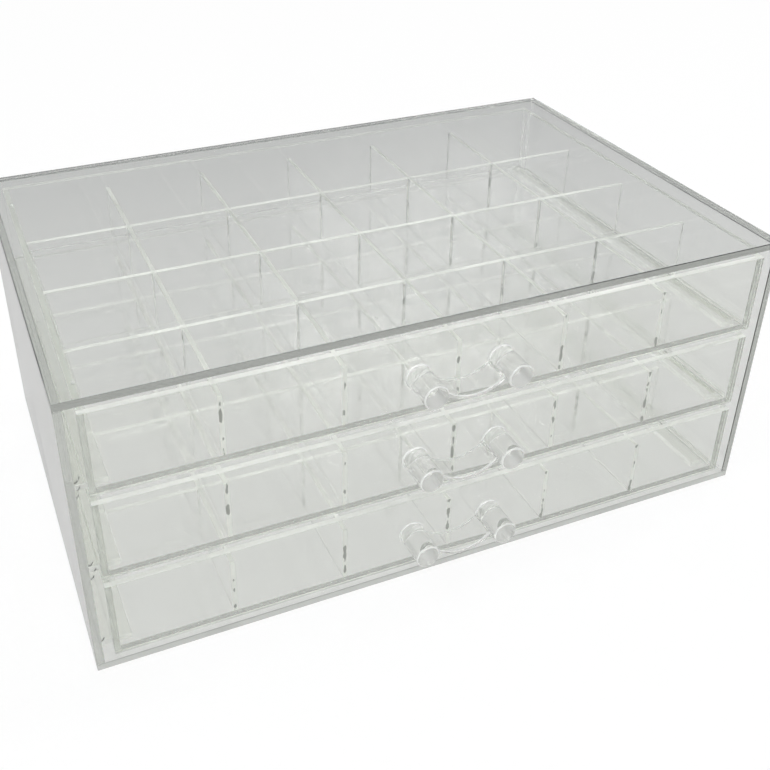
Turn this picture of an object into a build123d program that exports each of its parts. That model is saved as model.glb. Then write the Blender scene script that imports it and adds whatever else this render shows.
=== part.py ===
"""Clear acrylic organizer: a case of five glued sheets that holds three open drawers.

Each drawer is a tray of five glued sheets with an egg-crate of crossing dividers
inside it, and a moulded handle on its front. It slides on two flat rails that are
glued to the case's side walls.

Millimetres, +Z up. The origin is the centre of the case's underside, the drawers
open towards -Y, and +X is to the right as one faces them.
"""

import os

from build123d import *

# ---- Case ----
CASE_WIDTH = 240.0  # outside, along X
CASE_DEPTH = 156.0  # outside, along Y
CASE_SHEET = 2.5  # thickness of the case's five sheets
LEVELS = ("bottom", "middle", "top")  # the drawers, from the table up

# ---- Rails, one strip each side under every drawer ----
RAIL_SHEET = 2.0  # thickness of the strip
RAIL_WIDTH = 10.0  # reach from the side wall towards the middle
RAIL_SETBACK = 7.0  # from the case's front edge to the rail's front end
RAIL_BACK_GAP = 2.5  # from the rail's rear end to the case's back sheet

# ---- Drawer tray ----
DRAWER_HEIGHT = 28.4  # underside of the floor to the rim
DRAWER_SHEET = 2.0  # front, back, sides and floor

# ---- Dividers ----
COLUMNS = 6  # cells across
ROWS = 4  # cells from front to back
DIVIDER_SHEET = 1.5
DIVIDER_DROP = 5.5  # divider tops below the drawer's rim

# ---- Handle ----
POST_SPACING = 28.4  # between the two posts' axes
POST_RADIUS = 4.1
POST_LENGTH = 12.5  # out from the drawer's front
POST_ROUND = 1.0  # rounding of a post's free end
WEB_THICKNESS = 1.4
WEB_REACH = 9.5  # out from the drawer's front
WEB_SAG = 5.0  # lowest point of the web below the posts' axes
WEB_ROOT = 1.2  # how deep the web's ends run into the posts

# ---- Clearances and finish ----
SIDE_GAP = 3.5  # drawer to the case's side wall, each side
BACK_GAP = 0.7  # closed drawer to the case's back sheet
RUN_GAP = 0.1  # drawer's underside to the rail that carries it
HEAD_GAP = 0.7  # drawer's rim to the rails above it
TOP_GAP = 1.4  # what the top drawer has over its head besides HEAD_GAP
GLUE_LINE = 0.05  # film of cement between two joined sheets
LAP_GAP = 0.1  # play in a divider's slot, each side and at its end
EDGE_BREAK = 0.2  # chamfer along every sawn edge

# ---- What follows from them ----
LEVEL_PITCH = RAIL_SHEET + RUN_GAP + DRAWER_HEIGHT + HEAD_GAP
CASE_HEIGHT = 2 * CASE_SHEET + len(LEVELS) * LEVEL_PITCH + TOP_GAP
CASE_FRONT = -CASE_DEPTH / 2
CASE_BACK_FACE = CASE_DEPTH / 2 - CASE_SHEET  # inner face of the back sheet
WALL_FACE = CASE_WIDTH / 2 - CASE_SHEET  # inner face of the right side wall
WALL_BASE = CASE_SHEET + GLUE_LINE
WALL_HEIGHT = CASE_HEIGHT - 2 * WALL_BASE

DRAWER_WIDTH = 2 * (WALL_FACE - SIDE_GAP)
DRAWER_BACK = CASE_BACK_FACE - BACK_GAP
INNER_X = DRAWER_WIDTH / 2 - DRAWER_SHEET - GLUE_LINE  # from the middle to a divider's end
INNER_FRONT = CASE_FRONT + DRAWER_SHEET + GLUE_LINE
INNER_BACK = DRAWER_BACK - DRAWER_SHEET - GLUE_LINE
INNER_DEPTH = INNER_BACK - INNER_FRONT
INNER_MIDDLE = (INNER_FRONT + INNER_BACK) / 2

DIVIDER_BASE = DRAWER_SHEET + GLUE_LINE  # above the drawer's underside
DIVIDER_HEIGHT = DRAWER_HEIGHT - DIVIDER_DROP - DIVIDER_BASE
CELL_X = (2 * INNER_X - (COLUMNS - 1) * DIVIDER_SHEET) / COLUMNS
CELL_Y = (INNER_DEPTH - (ROWS - 1) * DIVIDER_SHEET) / ROWS
COLUMN_LINES = [(i - COLUMNS / 2) * (CELL_X + DIVIDER_SHEET) for i in range(1, COLUMNS)]
ROW_LINES = [
    INNER_MIDDLE + (i - ROWS / 2) * (CELL_Y + DIVIDER_SHEET) for i in range(1, ROWS)
]


def upright_along_x(x, y, z):
    """Plane for a sheet that stands along X; its thickness grows towards the back."""
    return Plane((x, y, z), x_dir=(1, 0, 0), z_dir=(0, 1, 0))


def upright_along_y(x, y, z):
    """Plane for a sheet that stands along Y; its thickness grows towards the right."""
    return Plane((x, y, z), x_dir=(0, 1, 0), z_dir=(1, 0, 0))


def save(piece, name):
    piece.part.label = name
    export_step(piece.part, f"parts/{name}.step")


def sawn_sheet(name, plane, width, height, thickness):
    """One rectangle of sheet, centred on its plane, with all its edges broken."""
    with BuildPart() as sheet:
        with BuildSketch(plane):
            Rectangle(width, height)
        extrude(amount=thickness)
        chamfer(sheet.edges(), EDGE_BREAK)
    save(sheet, name)


def slotted_divider(name, plane, length, slot_centres, slots_from_top):
    """One divider, centred on its plane, cut half through where the others cross it."""
    slot_depth = DIVIDER_HEIGHT / 2 + LAP_GAP
    slot_middle = (DIVIDER_HEIGHT - slot_depth) / 2 * (1 if slots_from_top else -1)
    with BuildPart() as divider:
        with BuildSketch(plane):
            Rectangle(length, DIVIDER_HEIGHT)
            with Locations(*[(s, slot_middle) for s in slot_centres]):
                Rectangle(DIVIDER_SHEET + 2 * LAP_GAP, slot_depth, mode=Mode.SUBTRACT)
        extrude(amount=DIVIDER_SHEET / 2, both=True)
        along = Axis(origin=(0, 0, 0), direction=plane.x_dir)
        rim = divider.edges().filter_by(along).group_by(Axis.Z)[-1]
        chamfer(rim, EDGE_BREAK)
    save(divider, name)


os.makedirs("parts", exist_ok=True)

# ---- Case: the top and bottom sheets cap the walls, and the back sheet closes them ----
sawn_sheet("case_bottom", Plane.XY, CASE_WIDTH, CASE_DEPTH, CASE_SHEET)
sawn_sheet("case_top", Plane.XY.offset(CASE_HEIGHT - CASE_SHEET), CASE_WIDTH, CASE_DEPTH, CASE_SHEET)

wall_middle = CASE_HEIGHT / 2
sawn_sheet(
    "case_back",
    upright_along_x(0, CASE_BACK_FACE, wall_middle),
    CASE_WIDTH,
    WALL_HEIGHT,
    CASE_SHEET,
)
side_length = CASE_BACK_FACE - GLUE_LINE - CASE_FRONT
side_middle = CASE_FRONT + side_length / 2
for side, x in (("left", -CASE_WIDTH / 2), ("right", WALL_FACE)):
    sawn_sheet(
        f"case_{side}",
        upright_along_y(x, side_middle, wall_middle),
        side_length,
        WALL_HEIGHT,
        CASE_SHEET,
    )

# ---- Rails: the lowest pair is glued down to the case's bottom sheet as well ----
rail_length = CASE_DEPTH - CASE_SHEET - RAIL_SETBACK - RAIL_BACK_GAP
rail_middle_y = CASE_FRONT + RAIL_SETBACK + rail_length / 2
rail_middle_x = WALL_FACE - GLUE_LINE - RAIL_WIDTH / 2
for level, where in enumerate(LEVELS):
    rail_top = CASE_SHEET + level * LEVEL_PITCH + RAIL_SHEET
    film = GLUE_LINE if level == 0 else 0
    for side, x in (("left", -rail_middle_x), ("right", rail_middle_x)):
        sawn_sheet(
            f"rail_{where}_{side}",
            Plane((x, rail_middle_y, rail_top - RAIL_SHEET + film)),
            RAIL_WIDTH,
            rail_length,
            RAIL_SHEET - film,
        )

# ---- Drawers: front and back run full width, the sides stand between them ----
for level, where in enumerate(LEVELS):
    base = CASE_SHEET + level * LEVEL_PITCH + RAIL_SHEET + RUN_GAP
    middle = base + DRAWER_HEIGHT / 2
    drawer = f"drawer_{where}"

    for end, y in (("front", CASE_FRONT), ("back", DRAWER_BACK - DRAWER_SHEET)):
        sawn_sheet(
            f"{drawer}_{end}",
            upright_along_x(0, y, middle),
            DRAWER_WIDTH,
            DRAWER_HEIGHT,
            DRAWER_SHEET,
        )
    for side, x in (("left", -DRAWER_WIDTH / 2), ("right", DRAWER_WIDTH / 2 - DRAWER_SHEET)):
        sawn_sheet(
            f"{drawer}_{side}",
            upright_along_y(x, INNER_MIDDLE, middle),
            INNER_DEPTH,
            DRAWER_HEIGHT,
            DRAWER_SHEET,
        )
    sawn_sheet(
        f"{drawer}_floor",
        Plane((0, INNER_MIDDLE, base)),
        2 * INNER_X,
        INNER_DEPTH,
        DRAWER_SHEET,
    )

    # Column dividers are slotted from above, and the row dividers drop over them.
    divider_middle = base + DIVIDER_BASE + DIVIDER_HEIGHT / 2
    for number, x in enumerate(COLUMN_LINES, start=1):
        slotted_divider(
            f"{drawer}_column_divider_{number}",
            upright_along_y(x, INNER_MIDDLE, divider_middle),
            INNER_DEPTH,
            [y - INNER_MIDDLE for y in ROW_LINES],
            slots_from_top=True,
        )
    for number, y in enumerate(ROW_LINES, start=1):
        slotted_divider(
            f"{drawer}_row_divider_{number}",
            Plane((0, y, divider_middle), x_dir=(1, 0, 0), z_dir=(0, -1, 0)),
            2 * INNER_X,
            COLUMN_LINES,
            slots_from_top=False,
        )

    # The handle is moulded in one piece and glued to the front by its posts and web.
    glued_face = Plane((0, CASE_FRONT - GLUE_LINE, middle), x_dir=(1, 0, 0), z_dir=(0, -1, 0))
    web_end = POST_SPACING / 2 - POST_RADIUS + WEB_ROOT
    with BuildPart() as handle:
        with BuildSketch(glued_face):
            with GridLocations(POST_SPACING, 0, 2, 1):
                Circle(POST_RADIUS)
        extrude(amount=POST_LENGTH)
        fillet(handle.edges().group_by(Axis.Y)[0], POST_ROUND)
        with BuildSketch(glued_face) as web:
            with BuildLine():
                smile = ThreePointArc((-web_end, 0), (0, -WEB_SAG), (web_end, 0))
            SlotArc(smile, WEB_THICKNESS)
        extrude(amount=WEB_REACH)
    save(handle, f"{drawer}_handle")
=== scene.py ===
"""Looks of the clear acrylic drawer organizer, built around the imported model.

Metres, +Z up, the drawers open towards -Y. MM turns millimetres into metres.
"""
import math

import bmesh
import bpy
from mathutils import Matrix, Vector


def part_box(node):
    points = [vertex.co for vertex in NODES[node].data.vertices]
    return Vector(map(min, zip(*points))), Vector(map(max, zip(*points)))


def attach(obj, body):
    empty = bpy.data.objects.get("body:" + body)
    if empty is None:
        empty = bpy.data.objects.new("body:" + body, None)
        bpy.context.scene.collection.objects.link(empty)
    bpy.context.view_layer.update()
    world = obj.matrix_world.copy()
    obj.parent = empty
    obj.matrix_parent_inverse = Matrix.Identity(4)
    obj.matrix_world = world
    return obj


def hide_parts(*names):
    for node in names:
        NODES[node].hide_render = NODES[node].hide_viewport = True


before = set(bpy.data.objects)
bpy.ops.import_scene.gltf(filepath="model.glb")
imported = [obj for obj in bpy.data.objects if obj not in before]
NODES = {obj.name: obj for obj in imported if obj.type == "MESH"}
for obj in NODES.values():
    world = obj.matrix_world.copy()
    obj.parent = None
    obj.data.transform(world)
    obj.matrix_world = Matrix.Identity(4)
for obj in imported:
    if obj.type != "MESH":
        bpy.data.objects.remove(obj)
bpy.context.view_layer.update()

MM = 0.001
LEVELS = ("bottom", "middle", "top")

# ---- Case sheets -------------------------------------------------------------
# Five sheets of 2.5 mm clear cast acrylic, cut on a saw, polished on the edges and
# cemented with solvent. The faces are near perfect, with a slight wave from casting;
# the polished edges look down the length of the sheet, so they read as grey lines.
# That grey is partly painted shade: each sheet's cut edges get a darker colour of their
# own, darkest on the top, whose acrylic also absorbs more; the base's edges are paler
# and partly matt, which is painted light.

AXES = {"x": (1, 0, 0), "y": (0, 1, 0), "z": (0, 0, 1)}
ACRYLIC_IOR = 1.49
DEPTH_TINT = "#8E928C"  # colour that light takes on deep inside the acrylic
POLISH = 0.02  # roughness of a plain polished face
EDGE_FLATNESS = (0.85, 0.95)  # below the first a facet is cut edge, above the second face
UPWARD = 0.3  # a facet whose normal rises more than this faces up
CAST_WAVE = 45 * MM  # length of the slow wave in a cast face
CAST_WAVE_HEIGHT = 0.05 * MM
WIPE_MARK = 6 * MM  # spacing of the faint marks that a cloth leaves
WIPE_CONTRAST = (0.35, 0.75)  # part of the noise that makes the whole pattern
WIPE_HAZE = (0.4, 1.6)  # shares of a face's haze, from its clearest to its dullest spot
SAW_MARK = 0.9 * MM  # real ones are 0.3 mm apart, drawn coarser so that they show
SAW_MARK_HEIGHT = 0.008 * MM
SAW_SQUEEZE = 0.05  # scale of the pattern along the thickness
SAW_CONTRAST = (0.3, 0.7)
SAW_HAZE = (0.7, 1.3)  # shares of an edge's haze
RIM_TINT = "#EEF0EC"
RIM_HAZE = 0.4
RIM_PATCH = 40 * MM  # length over which a sawn rim changes from matt to nearly clear
RIM_CONTRAST = (0.35, 0.65)
RIM_WEAR_AND_GLINT = (0.6, 1)  # how matt the rim is, from its clearest to its mattest stretch


def linear(hex_code):
    """An sRGB hex colour as the linear RGBA that a shader's socket takes."""
    shares = [int(hex_code[i:i + 2], 16) / 255 for i in (1, 3, 5)]
    curved = [c / 12.92 if c <= 0.04045 else ((c + 0.055) / 1.055) ** 2.4 for c in shares]
    return (*curved, 1)


def add(tree, kind, settings=(), inputs=()):
    """Adds one node. An input is given a value, or another node's output to link."""
    node = tree.nodes.new("ShaderNode" + kind)
    for key, value in dict(settings).items():
        setattr(node, key, value)
    for key, value in dict(inputs).items():
        if isinstance(value, bpy.types.NodeSocket):
            tree.links.new(value, node.inputs[key])
        else:
            node.inputs[key].default_value = value
    return node


def calculate(tree, operation, *values):
    return add(tree, "Math", {"operation": operation}, dict(enumerate(values))).outputs[0]


def remap(tree, value, taken, given=(0, 1)):
    """Maps a value from one range onto another, and holds it at the ends."""
    return add(tree, "MapRange", inputs={
        "Value": value, "From Min": taken[0], "From Max": taken[1],
        "To Min": given[0], "To Max": given[1]}).outputs[0]


def blend(tree, share, low, high):
    return add(tree, "Mix", inputs={"Factor": share, "A": low, "B": high}).outputs["Result"]


def blend_colour(tree, share, low, high):
    return add(tree, "Mix", {"data_type": "RGBA"}, {"Factor": share, 6: low, 7: high}).outputs[2]


def clouds(tree, place, size, detail):
    """Noise whose spots are about as large as size."""
    return add(tree, "TexNoise", inputs={"Vector": place, "Scale": 1 / size, "Detail": detail})


def feed(tree, sockets):
    """Links outputs to sockets of the surface's shader."""
    for name, output in sockets.items():
        tree.links.new(output, tree.nodes["Principled BSDF"].inputs[name])


def acrylic(name, tint, per_metre):
    """Clear acrylic: tint colours it once a sheet, DEPTH_TINT by the way inside it."""
    material = bpy.data.materials.new(name)
    material.use_nodes = True
    tree = material.node_tree
    surface = tree.nodes["Principled BSDF"]
    surface.inputs["Base Color"].default_value = linear(tint)
    surface.inputs["IOR"].default_value = ACRYLIC_IOR
    surface.inputs["Transmission Weight"].default_value = 1
    surface.inputs["Roughness"].default_value = POLISH
    inside = add(tree, "VolumeAbsorption", inputs={"Color": linear(DEPTH_TINT), "Density": per_metre})
    tree.links.new(inside.outputs[0], tree.nodes["Material Output"].inputs["Volume"])
    return material


def coat_edge(tree, mask, clear, tone, rough):
    """Changes the finish where mask is 1."""
    surface = tree.nodes["Principled BSDF"]
    before = {name: surface.inputs[name].links[0].from_socket
              for name in ("Transmission Weight", "Roughness", "Base Color")}
    feed(tree, {
        "Transmission Weight": blend(tree, mask, before["Transmission Weight"], clear),
        "Roughness": blend(tree, mask, before["Roughness"], rough),
        "Base Color": blend_colour(tree, mask, before["Base Color"], linear(tone))})


def cut_sheet(name, across, tint, edge_tint, per_metre, haze, edge_haze, edge_clear,
              wave=True, marks=SAW_MARK_HEIGHT, rim_clear=1.0):
    """Acrylic for a sheet whose thickness lies along one axis: clear faces, cut edges.

    With rim_clear below 1, the edge that faces up is left as sawn, and is fine matt white, in patches
    that are partly wear and partly painted glints.
    """
    material = acrylic(name, tint, per_metre)
    tree = material.node_tree
    place = add(tree, "TexCoord")
    facing = add(tree, "VectorMath", {"operation": "DOT_PRODUCT"}, {
        0: place.outputs["Normal"], 1: AXES[across]})
    flatness = calculate(tree, "ABSOLUTE", facing.outputs["Value"])
    edge = remap(tree, flatness, EDGE_FLATNESS, (1, 0))

    wipes = clouds(tree, place.outputs["Object"], WIPE_MARK, 1).outputs["Fac"]
    face_rough = remap(tree, wipes, WIPE_CONTRAST, [haze * share for share in WIPE_HAZE])
    # marks of the saw run across the edge, so the pattern is squeezed along the thickness
    squeeze = [SAW_SQUEEZE if axis == across else 1 for axis in AXES]
    along = add(tree, "Mapping", inputs={"Vector": place.outputs["Object"], "Scale": squeeze})
    saw = clouds(tree, along.outputs[0], SAW_MARK, 1).outputs["Fac"]
    edge_rough = remap(tree, saw, SAW_CONTRAST, [edge_haze * share for share in SAW_HAZE])
    feed(tree, {
        "Roughness": blend(tree, edge, face_rough, edge_rough),
        "Base Color": blend_colour(tree, edge, linear(tint), linear(edge_tint)),
        "Transmission Weight": blend(tree, edge, 1.0, edge_clear)})

    if rim_clear < 1:
        normal = add(tree, "SeparateXYZ", inputs={0: place.outputs["Normal"]})
        upward = calculate(tree, "GREATER_THAN", normal.outputs["Z"], UPWARD)
        # patches of matt along the rim: partly wear, partly painted glints
        patches = clouds(tree, place.outputs["Object"], RIM_PATCH, 0).outputs["Fac"]
        wear_and_glint = remap(tree, patches, RIM_CONTRAST, RIM_WEAR_AND_GLINT)
        rim = calculate(tree, "MULTIPLY", calculate(tree, "MULTIPLY", edge, upward), wear_and_glint)
        coat_edge(tree, rim, rim_clear, RIM_TINT, RIM_HAZE)
    if wave:
        slow = clouds(tree, place.outputs["Object"], CAST_WAVE, 0).outputs["Fac"]
        height = blend(tree, edge, slow, saw)
        reach = remap(tree, edge, (0, 1), (CAST_WAVE_HEIGHT, marks))
        feed(tree, {"Normal": add(tree, "Bump", inputs={"Height": height, "Distance": reach}).outputs[0]})
    return material


def dress(node, material):
    """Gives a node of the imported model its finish."""
    NODES[node].data.materials.clear()
    NODES[node].data.materials.append(material)


CASE_TINT = "#FCFDFB"
polished = {"haze": 0.01, "edge_haze": 0.08, "edge_clear": 1.0, "marks": 0.002 * MM}
painted_light_edged = {**polished, "edge_clear": 0.6}
# painted shade: edge colours and absorption differ by sheet, darkest on the top; the base's paler, partly
# matt edges are painted light
dress("case_top", cut_sheet("polished_acrylic_top", "z", CASE_TINT, "#E0E3DE", 2.2, **polished))
dress("case_bottom", cut_sheet("polished_acrylic_base", "z", CASE_TINT, "#F0F2EE", 1, **painted_light_edged))
dress("case_back", cut_sheet("polished_acrylic_back", "y", CASE_TINT, "#E4E6E2", 1.5, **polished))
wall_acrylic = cut_sheet("polished_acrylic_walls", "x", CASE_TINT, "#EDEFEB", 1, **polished)
dress("case_left", wall_acrylic)
dress("case_right", wall_acrylic)

# ---- Rails -------------------------------------------------------------------
# Two flat strips of 2 mm clear acrylic under each drawer, sawn and left as cut, and
# cemented to the side walls.

RAIL_TINT = "#FAFBF8"
RAIL_EDGE = "#F2F3F0"
rail_finish = {"haze": 0.12, "edge_haze": 0.15, "edge_clear": 0.5, "wave": False}
rail_acrylic = cut_sheet("sawn_acrylic_rails", "z", RAIL_TINT, RAIL_EDGE, 0.5, **rail_finish)
for where in LEVELS:
    for side in ("left", "right"):
        dress(f"rail_{where}_{side}", rail_acrylic)

# ---- Dried cement ------------------------------------------------------------
# Solvent cement that ran out at the left rails' front ends and dried there on the wall in
# small, dull, curled threads, and three drops of it under the top sheet, whose pale colour
# is partly a painted glint.

# each thread from one point to another: millimetres from the wall, then from the rail's underside
THREADS = {
    "top": (((0.2, 3.2), (2.1, 5.4)), ((1.1, 0.6), (1.7, 1.5)), ((0.3, -2.2), (1.0, -1.2))),
    "middle": (((0.2, 3.0), (1.9, 4.3)), ((1.9, 0.7), (2.4, 1.2)), ((0.5, -2.3), (1.5, -1.2))),
    "bottom": (((0.5, 2.6), (1.4, 3.8)),),
}
THREAD = 0.35 * MM  # half the thickness of a thread
THREAD_SAG = Vector((0.3, 0, -0.35))  # shares of its length by which a thread bends
DROPS = ((-112.7, -67.6), (-112.9, 54.0), (-23.7, -68.1))  # millimetres from the middle
DROP = 0.55 * MM
DROP_LENGTH = 1.4  # shares of DROP along Y and in height
DROP_HEIGHT = 0.6
CEMENT_CLOUD = 0.8 * MM
CEMENT_LUMP = 0.05 * MM
CEMENT_CLEAR = (0.2, 0.6)
CEMENT_ROUGH = (0.1, 0.4)
SMOOTH_ANGLE = math.radians(35)  # facets that turn by less are shaded as one surface


def cement(name, dark, light):
    """Dried cement, clouded between two tones."""
    material = acrylic(name, light, 1)
    tree = material.node_tree
    milk = clouds(tree, add(tree, "TexCoord").outputs["Object"], CEMENT_CLOUD, 2).outputs["Fac"]
    feed(tree, {
        "Transmission Weight": remap(tree, milk, (0, 1), CEMENT_CLEAR),
        "Roughness": remap(tree, milk, (0, 1), CEMENT_ROUGH),
        "Normal": add(tree, "Bump", inputs={"Height": milk, "Distance": CEMENT_LUMP}).outputs[0],
        "Base Color": blend_colour(tree, milk, linear(dark), linear(light))})
    return material


def even_normal(corner):
    """Direction for smooth shading, led by the larger faces, so that flat ones look flat."""
    own = corner.face.normal
    near = [f for f in corner.vert.link_faces if f.normal.dot(own) > math.cos(SMOOTH_ANGLE)]
    return sum((f.normal * f.calc_area() for f in near), Vector()).normalized()


def new_piece(name, shape, material, body):
    """Turns a bmesh into a named object that rides on a body of the model."""
    shape.normal_update()
    shading = [even_normal(corner) for face in shape.faces for corner in face.loops]
    mesh = bpy.data.meshes.new(name)
    shape.to_mesh(mesh)
    shape.free()
    mesh.materials.append(material)
    mesh.polygons.foreach_set("use_smooth", [True] * len(mesh.polygons))
    mesh.normals_split_custom_set(shading)
    piece = bpy.data.objects.new(name, mesh)
    bpy.context.scene.collection.objects.link(piece)
    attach(piece, body)
    return piece


def thread_of_cement(start, end, half):
    """A ball drawn out along a sagging line, thick in the middle and fine at its ends."""
    sag = THREAD_SAG * (end - start).length
    shape = bmesh.new()
    bmesh.ops.create_uvsphere(shape, u_segments=12, v_segments=14, radius=1)
    for v in shape.verts:
        share = (v.co.z + 1) / 2
        middle_of_line = start.lerp(end, share) + sag * share * (1 - share) * 2
        v.co = middle_of_line + Vector((v.co.x * half, v.co.y * half, v.co.x * half))
    bmesh.ops.recalc_face_normals(shape, faces=shape.faces)
    return shape


def drop_of_cement(x, y, z):
    """A flattened ball that hangs from the height z."""
    shape = bmesh.new()
    bmesh.ops.create_uvsphere(shape, u_segments=14, v_segments=10, radius=DROP)
    bmesh.ops.scale(shape, vec=(1, DROP_LENGTH, DROP_HEIGHT), verts=shape.verts)
    bmesh.ops.translate(shape, vec=(x, y, z - DROP * DROP_HEIGHT), verts=shape.verts)
    return shape


dried_cement = cement("dried_cement", "#5E605C", "#A3A5A0")
wall_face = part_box("case_left")[1].x
for where, lines in THREADS.items():
    rail_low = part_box(f"rail_{where}_left")[0]
    corner = Vector((wall_face, rail_low.y - THREAD, rail_low.z))
    for number, ends in enumerate(lines, start=1):
        start, end = [corner + Vector((out * MM, 0, up * MM)) for out, up in ends]
        thread = thread_of_cement(start, end, THREAD)
        new_piece(f"cement_thread_{where}_{number}", thread, dried_cement, "case")

# the drops' pale colour is partly a painted glint
cement_with_painted_glint = cement("cement_with_painted_glint", "#D4D6D2", "#FFFFFF")
top_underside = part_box("case_top")[0].z
for number, (x, y) in enumerate(DROPS, start=1):
    drop = drop_of_cement(x * MM, y * MM, top_underside)
    new_piece(f"cement_drop_{number}", drop, cement_with_painted_glint, "case")

# ---- Drawer trays ------------------------------------------------------------
# Each tray is five sheets of 2 mm clear acrylic, sawn and cemented. The front's rim stays
# as the saw left it, a fine matt white that catches the light; the others are scraped.

WHITE = "#FFFFFF"
SAWN_EDGE = "#EEF0EC"
SHEET_PER_METRE = 0.5
sawn = {"haze": 0.03, "edge_haze": 0.15, "edge_clear": 0.95}
as_cut = {**sawn, "rim_clear": 0.42, "marks": 0.003 * MM}
scraped = {**sawn, "rim_clear": 0.75, "wave": False}
rubbed = {**sawn, "haze": 0.12, "wave": False}
tray_acrylic = {
    "front": cut_sheet("sawn_acrylic_fronts", "y", CASE_TINT, SAWN_EDGE, SHEET_PER_METRE, **as_cut),
    "back": cut_sheet("sawn_acrylic_tray_backs", "y", WHITE, SAWN_EDGE, SHEET_PER_METRE, **scraped),
    "side": cut_sheet("sawn_acrylic_tray_sides", "x", WHITE, SAWN_EDGE, SHEET_PER_METRE, **scraped),
    "floor": cut_sheet("sawn_acrylic_tray_floors", "z", WHITE, SAWN_EDGE, SHEET_PER_METRE, **rubbed),
}
for where in LEVELS:
    for sheet, kind in (("front", "front"), ("back", "back"), ("left", "side"), ("right", "side"),
                        ("floor", "floor")):
        dress(f"drawer_{where}_{sheet}", tray_acrylic[kind])

# ---- Dividers ----------------------------------------------------------------
# Thin 1.5 mm acrylic strips, slotted half through and pushed over each other. Their top
# edges are sawn and matt; the edges that meet the tray are spot-cemented, and the cement
# holds rows of small dark voids.

DIVIDER_HAZE = 0.05
COLUMN_RIM = 0.6  # how clear the top edge is
ROW_RIM = 0.15
VOID = 3.5 * MM  # length of a void in the cement
VOID_CONTRAST = (0.51, 0.66)  # part of the noise that gives a void, from its tip to its middle
VOID_HALF = 0.6 * MM  # half the width of the widest void
VOID_WANDER = 0.35 * MM  # how far a void strays from the middle of the edge
EDGE_ON = 0.3  # a facet whose normal turns less than this along the thickness is an edge
FILM = {"clear": 0.5, "tone": "#F4F5F2", "rough": 0.3}
VOID_FINISH = {"clear": 0.4, "tone": "#8E908C", "rough": 0.3}


def slotted_sheet(name, across, rim_clear, first, pitch):
    """Divider acrylic, with voids along the middle of its cemented edges."""
    finish = {**sawn, "haze": DIVIDER_HAZE, "rim_clear": rim_clear, "wave": False}
    material = cut_sheet(name, across, WHITE, SAWN_EDGE, SHEET_PER_METRE, **finish)
    tree = material.node_tree
    place = add(tree, "TexCoord")
    spots = clouds(tree, place.outputs["Object"], VOID, 1)
    half = remap(tree, spots.outputs["Fac"], VOID_CONTRAST, (0, VOID_HALF))
    stray = add(tree, "SeparateXYZ", inputs={0: spots.outputs["Color"]}).outputs[0]
    wander = remap(tree, stray, (0, 1), (-VOID_WANDER - first, VOID_WANDER - first))
    axes = add(tree, "SeparateXYZ", inputs={0: place.outputs["Object"]})
    shifted = calculate(tree, "ADD", axes.outputs[across.upper()], wander)
    # how far a point is from the middle of the nearest divider of this kind
    off = calculate(tree, "PINGPONG", shifted, pitch / 2)
    void = calculate(tree, "LESS_THAN", off, half)
    # edges that face down or sideways are cemented, and each facet is one or the other
    normal = add(tree, "SeparateXYZ", inputs={0: place.outputs["Normal"]})
    low = calculate(tree, "LESS_THAN", normal.outputs["Z"], UPWARD)
    flat = calculate(tree, "ABSOLUTE", normal.outputs[across.upper()])
    edge = calculate(tree, "LESS_THAN", flat, EDGE_ON)
    cemented = calculate(tree, "MULTIPLY", edge, low)
    coat_edge(tree, cemented, **FILM)
    coat_edge(tree, calculate(tree, "MULTIPLY", cemented, void), **VOID_FINISH)
    return material


def middle(node, axis):
    low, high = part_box(node)
    return (low[axis] + high[axis]) / 2


columns = [middle(f"drawer_top_column_divider_{i}", 0) for i in (1, 2)]
rows = [middle(f"drawer_top_row_divider_{i}", 1) for i in (1, 2)]
column_acrylic = slotted_sheet(
    "sawn_acrylic_column_dividers", "x", COLUMN_RIM, columns[0], columns[1] - columns[0])
row_acrylic = slotted_sheet(
    "sawn_acrylic_row_dividers", "y", ROW_RIM, rows[0], rows[1] - rows[0])
for node in NODES:
    if "column_divider" in node:
        dress(node, column_acrylic)
    elif "row_divider" in node:
        dress(node, row_acrylic)

# ---- Handles -----------------------------------------------------------------
# One injection moulding in clear acrylic per drawer: two round posts joined by a thin
# web that curves down between them. Glossy, with a soft flow wave and roundings that are
# painted a little white as highlights, and cemented to the drawer's front, into which its
# foot has melted a bit.

POST_RADIUS = 4.1 * MM
POST_ROUND = 0.6 * MM
FOOT_FLARE = 0.5 * MM  # ring of cement round a post's foot
FOOT_SINK = 0.1 * MM  # how far the foot melted into the sheet
WEB_THICKNESS = 1.4 * MM
WEB_REACH = 9.5 * MM
WEB_SAG = 5.0 * MM
WEB_ROOT = 1.2 * MM  # how deep the web's ends run into the posts
WEB_ROUND = 0.4 * MM
TURN_STEPS = 48
ARC_STEPS = 8
WEB_STEPS = 28
WEB_ROUND_STEPS = 3
SHARP = 1  # radians: only an edge that turns by more is rounded
NEAR = 0.01 * MM
HANDLE_PER_METRE = 6
FLOW_WAVE = 7 * MM
FLOW_WAVE_HEIGHT = 0.03 * MM
FLOW_HAZE = 0.02
ROUNDED_FROM = (0.15, 0.3)  # share of the normal along Y where a side passes into a rounding
ROUNDED_TO = (0.9, 0.98)  # and where the rounding passes into an end
# how clear the roundings stay where they are painted white as highlights
PAINTED_HIGHLIGHT_CLEAR = 0.55

moulded = acrylic("moulded_acrylic_handles", WHITE, HANDLE_PER_METRE)
tree = moulded.node_tree
place = add(tree, "TexCoord")
flow = clouds(tree, place.outputs["Object"], FLOW_WAVE, 1).outputs["Fac"]
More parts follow.
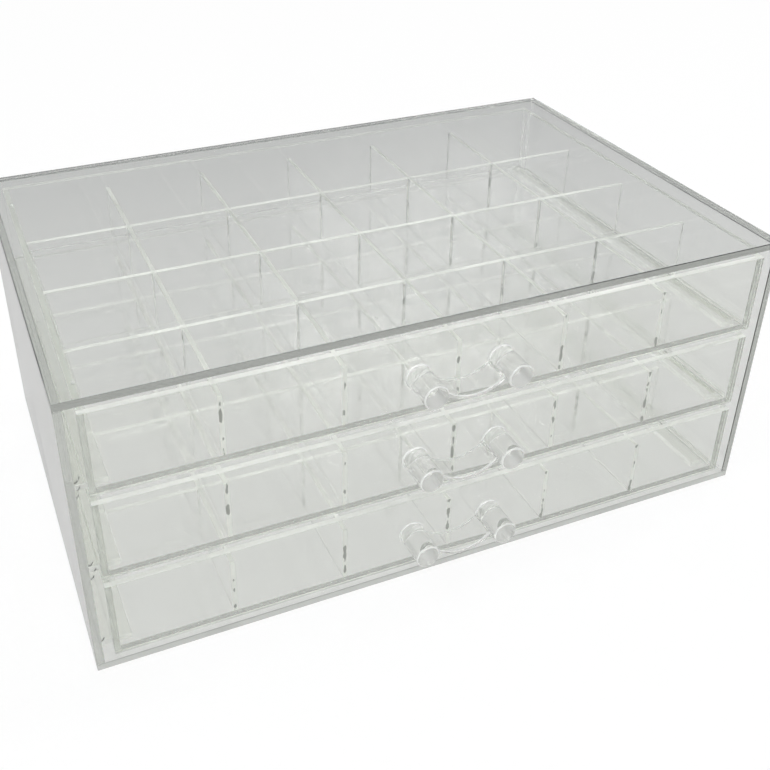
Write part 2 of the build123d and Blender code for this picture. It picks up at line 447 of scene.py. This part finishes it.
# the rounded edges, between an end and a side, are painted a little white: painted highlights
normal = add(tree, "SeparateXYZ", inputs={0: place.outputs["Normal"]})
endways = calculate(tree, "ABSOLUTE", normal.outputs["Y"])
rounded = calculate(tree, "MULTIPLY", remap(tree, endways, ROUNDED_FROM),
                    remap(tree, endways, ROUNDED_TO, (1, 0)))
feed(tree, {
    "Normal": add(tree, "Bump", inputs={"Height": flow, "Distance": FLOW_WAVE_HEIGHT}).outputs[0],
    "Roughness": remap(tree, flow, (0, 1), (0, FLOW_HAZE)),
    "Transmission Weight": blend(tree, rounded, 1.0, PAINTED_HIGHLIGHT_CLEAR)})


def quarter_turn():
    """Sine and cosine at even steps from the start to the end of a quarter circle."""
    turns = [math.pi / 2 * i / ARC_STEPS for i in range(ARC_STEPS + 1)]
    return [(math.sin(turn), math.cos(turn)) for turn in turns]


def turned_post(x, y, z, length):
    """A round post along -Y from its foot at (x, y, z), with a flared foot and a round end."""
    flare = [(POST_RADIUS + FOOT_FLARE * (1 - s), FOOT_FLARE * (1 - c)) for s, c in quarter_turn()]
    end = [(POST_RADIUS - POST_ROUND * (1 - c), length - POST_ROUND * (1 - s)) for s, c in quarter_turn()]
    outline = [(0, -FOOT_SINK), (POST_RADIUS + FOOT_FLARE, -FOOT_SINK), *flare, *end, (0, length)]
    shape = bmesh.new()
    corners = [shape.verts.new((x + r, y - out, z)) for r, out in outline]
    lines = [shape.edges.new(pair) for pair in zip(corners, corners[1:])]
    bmesh.ops.spin(shape, geom=corners + lines, cent=(x, y, z), axis=(0, 1, 0), dvec=(0, 0, 0),
                   angle=2 * math.pi, steps=TURN_STEPS, use_merge=True, use_duplicate=False)
    bmesh.ops.remove_doubles(shape, verts=shape.verts, dist=NEAR / 10)
    bmesh.ops.recalc_face_normals(shape, faces=shape.faces)
    return shape


def curved_web(y, z, half_span):
    """The thin web: a flat strip bent down in an arc between the posts."""
    radius = (half_span ** 2 + WEB_SAG ** 2) / (2 * WEB_SAG)
    centre = Vector((0, y, z - WEB_SAG + radius))
    half_turn = math.asin(half_span / radius)
    shape = bmesh.new()
    ring = []
    for side in (-1, 1):
        r = radius + side * WEB_THICKNESS / 2
        for out in (-FOOT_SINK, WEB_REACH)[::side]:
            ring.append(shape.verts.new(
                centre + Vector((-r * math.sin(half_turn), -out, -r * math.cos(half_turn)))))
    lines = [shape.edges.new((ring[i], ring[(i + 1) % 4])) for i in range(4)]
    bmesh.ops.spin(shape, geom=ring + lines, cent=centre, axis=(0, 1, 0), dvec=(0, 0, 0),
                   angle=-2 * half_turn, steps=WEB_STEPS, use_merge=False, use_duplicate=False)
    bmesh.ops.holes_fill(shape, edges=[e for e in shape.edges if e.is_boundary], sides=4)
    bmesh.ops.recalc_face_normals(shape, faces=shape.faces)
    front = [e for e in shape.edges
             if all(abs(v.co.y - (y - WEB_REACH)) < NEAR for v in e.verts)
             and len(e.link_faces) == 2 and e.calc_face_angle() > SHARP]
    bmesh.ops.bevel(shape, geom=front, offset=WEB_ROUND, offset_type="OFFSET", affect="EDGES",
                    segments=WEB_ROUND_STEPS, profile=0.5, material=-1)
    return shape


def united(first, *others):
    """Joins closed shapes into one skin, as the moulding is one solid."""
    temporary = []
    for shape in (first, *others):
        mesh = bpy.data.meshes.new("part_of_handle")
        shape.to_mesh(mesh)
        shape.free()
        temporary.append(bpy.data.objects.new("part_of_handle", mesh))
        bpy.context.scene.collection.objects.link(temporary[-1])
    for other in temporary[1:]:
        join = temporary[0].modifiers.new("join", "BOOLEAN")
        join.operation = "UNION"
        join.solver = "EXACT"
        join.object = other
    whole = bmesh.new()
    whole.from_object(temporary[0], bpy.context.evaluated_depsgraph_get())
    for part in temporary:
        bpy.data.meshes.remove(part.data)
    return whole


for where in LEVELS:
    low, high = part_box(f"drawer_{where}_handle")
    front_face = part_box(f"drawer_{where}_front")[0].y
    post_x = high.x - POST_RADIUS
    post_z = high.z - POST_RADIUS
    length = front_face - low.y
    web = curved_web(front_face, post_z, post_x - POST_RADIUS + WEB_ROOT)
    posts = [turned_post(x, front_face, post_z, length) for x in (-post_x, post_x)]
    handle = new_piece(f"drawer_{where}_moulded_handle", united(*posts, web),
                       moulded, f"drawer_{where}")
    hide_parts(f"drawer_{where}_handle")

# ---- Floor and light ---------------------------------------------------------
# A sheet of white paper under a plain white sky. The camera sees both as pure white, and
# in and through the acrylic they show a shade darker, as in the photograph.

PAPER_HALF = 6.0
PAPER_BELOW = 0.2 * MM
PAPER_GREY = 0.12  # share of the paper's white that takes the object's shadow
LAMP_SHARE = 0.035  # of the paper's white, from the lamps
SHADE_THROUGH = 0.66  # of white: the paper and sky as they show through the acrylic
PAPER_IN_GLOSS = 0.56  # of white: the paper in its reflections
SKY_IN_GLOSS = 0.5
SKY_GLOSS_TINT = "#DADAEC"  # the room mirrored in the acrylic is a little cooler
SKY_STRENGTH = (0.8, 1.15)  # at the horizon and overhead
FAR_PAPER = (0.10, 0.45)  # from here to there, the paper behind the case darkens
FAR_SHADE = 0.62
LAMPS = (  # name, place, width, length, watts
    ("strip_left", (-0.45, -0.2, 1.1), 0.06, 0.9, 2.2),
    ("strip_right", (0.55, 0.1, 1.1), 0.06, 0.9, 2.2),
    ("front_window", (-0.55, -1.1, 0.75), 0.25, 0.35, 1.8),
)


def seen_white(tree, in_gloss):
    """How white the surroundings are to each ray: to the eye, as light, or in the acrylic."""
    path = add(tree, "LightPath").outputs
    through = calculate(tree, "MULTIPLY", path["Is Transmission Ray"], SHADE_THROUGH)
    gloss = calculate(tree, "MULTIPLY", path["Is Glossy Ray"], in_gloss)
    # rays that left a matt edge on their way carry its light, whatever they cross after it
    as_light = calculate(tree, "GREATER_THAN", path["Diffuse Depth"], 0.5)
    to_eye = calculate(tree, "MAXIMUM", path["Is Camera Ray"], as_light)
    return calculate(tree, "MAXIMUM", to_eye, calculate(tree, "MAXIMUM", through, gloss))


white_paper = bpy.data.materials.new("white_paper")
white_paper.use_nodes = True
tree = white_paper.node_tree
tree.nodes.clear()
spot = add(tree, "SeparateXYZ", inputs={0: add(tree, "TexCoord").outputs["Object"]})
far = remap(tree, spot.outputs["Y"], FAR_PAPER, (1.0, FAR_SHADE))
# the eye and the light get the plain paper, and only rays in the acrylic the darker one
plain = blend(tree, add(tree, "LightPath").outputs["Is Transmission Ray"], 1.0, far)
shade = calculate(tree, "MULTIPLY", seen_white(tree, PAPER_IN_GLOSS), plain)
strength = calculate(tree, "MULTIPLY", shade, 1 - PAPER_GREY - LAMP_SHARE)
glow = add(tree, "Emission", inputs={"Strength": strength})
matt = add(tree, "BsdfDiffuse", inputs={"Color": (PAPER_GREY, PAPER_GREY, PAPER_GREY, 1)})
total = add(tree, "AddShader", inputs={0: matt.outputs[0], 1: glow.outputs[0]})
add(tree, "OutputMaterial", inputs={"Surface": total.outputs[0]})

shape = bmesh.new()
bmesh.ops.create_grid(shape, x_segments=1, y_segments=1, size=PAPER_HALF,
                      matrix=Matrix.Translation((0, 0, -PAPER_BELOW)))
mesh = bpy.data.meshes.new("paper")
shape.to_mesh(mesh)
shape.free()
mesh.materials.append(white_paper)
paper = bpy.data.objects.new("paper", mesh)
bpy.context.scene.collection.objects.link(paper)

world = bpy.data.worlds.new("white_sky")
bpy.context.scene.world = world
world.use_nodes = True
tree = world.node_tree
path = add(tree, "LightPath").outputs
direction = add(tree, "SeparateXYZ", inputs={0: add(tree, "TexCoord").outputs["Generated"]})
# the sky lights from above: darker at the horizon, except to the eye
overhead = remap(tree, direction.outputs["Z"], (0, 1), SKY_STRENGTH)
dimmed = calculate(tree, "MULTIPLY", seen_white(tree, SKY_IN_GLOSS), overhead)
crossing = calculate(tree, "SUBTRACT", 1.0, path["Is Transmission Ray"])
mirrored = calculate(tree, "MULTIPLY", path["Is Glossy Ray"], crossing)
sky_colour = blend_colour(tree, mirrored, linear(WHITE), linear(SKY_GLOSS_TINT))
sky = tree.nodes["Background"]
tree.links.new(blend(tree, path["Is Camera Ray"], dimmed, 1.0), sky.inputs["Strength"])
tree.links.new(sky_colour, sky.inputs["Color"])

for name, place, width, length, watts in LAMPS:
    lamp = bpy.data.lights.new(name, "AREA")
    lamp.shape = "RECTANGLE"
    lamp.size = width
    lamp.size_y = length
    lamp.energy = watts
    light = bpy.data.objects.new(name, lamp)
    light.location = place
    light.rotation_mode = "QUATERNION"
    light.rotation_quaternion = (-Vector(place)).to_track_quat("-Z", "Y")
    light.visible_camera = False
    bpy.context.scene.collection.objects.link(light)

# ---- Camera ------------------------------------------------------------------
# Placed by fitting a pinhole camera to the case's edges in the photograph, which is a
# crop, so the lens is shifted a little.

FRAME_PIXELS = 770
FOCAL_PIXELS = 1036.1
CENTRE_PIXEL = (344.7, 314.9)
SENSOR = 36.0
CAMERA_PLACE = (-0.13392, -0.30636, 0.25639)
CAMERA_TURN = math.radians(22.759)  # to the right of +Y
CAMERA_TILT = math.radians(30.907)  # down
BOUNCES = 64  # a ray crosses dozens of faces on its way through three drawers
TRANSPARENT_BOUNCES = 32

lens = bpy.data.cameras.new("camera")
lens.sensor_width = SENSOR
lens.lens = FOCAL_PIXELS / FRAME_PIXELS * SENSOR
lens.shift_x = (FRAME_PIXELS / 2 - CENTRE_PIXEL[0]) / FRAME_PIXELS
lens.shift_y = (CENTRE_PIXEL[1] - FRAME_PIXELS / 2) / FRAME_PIXELS
lens.clip_start = 0.01
lens.clip_end = 50
camera = bpy.data.objects.new("camera", lens)
bpy.context.scene.collection.objects.link(camera)
camera.location = CAMERA_PLACE
level = Vector((math.sin(CAMERA_TURN), math.cos(CAMERA_TURN), 0))
sight = level * math.cos(CAMERA_TILT) - Vector((0, 0, math.sin(CAMERA_TILT)))
camera.rotation_mode = "QUATERNION"
camera.rotation_quaternion = sight.to_track_quat("-Z", "Y")

scene = bpy.context.scene
scene.camera = camera
scene.view_settings.view_transform = "Standard"
scene.cycles.max_bounces = BOUNCES
scene.cycles.transmission_bounces = BOUNCES
scene.cycles.glossy_bounces = BOUNCES
scene.cycles.transparent_max_bounces = TRANSPARENT_BOUNCES
# the filter on glossy bounces would starve the matt edges inside the case of light
scene.cycles.blur_glossy = 0
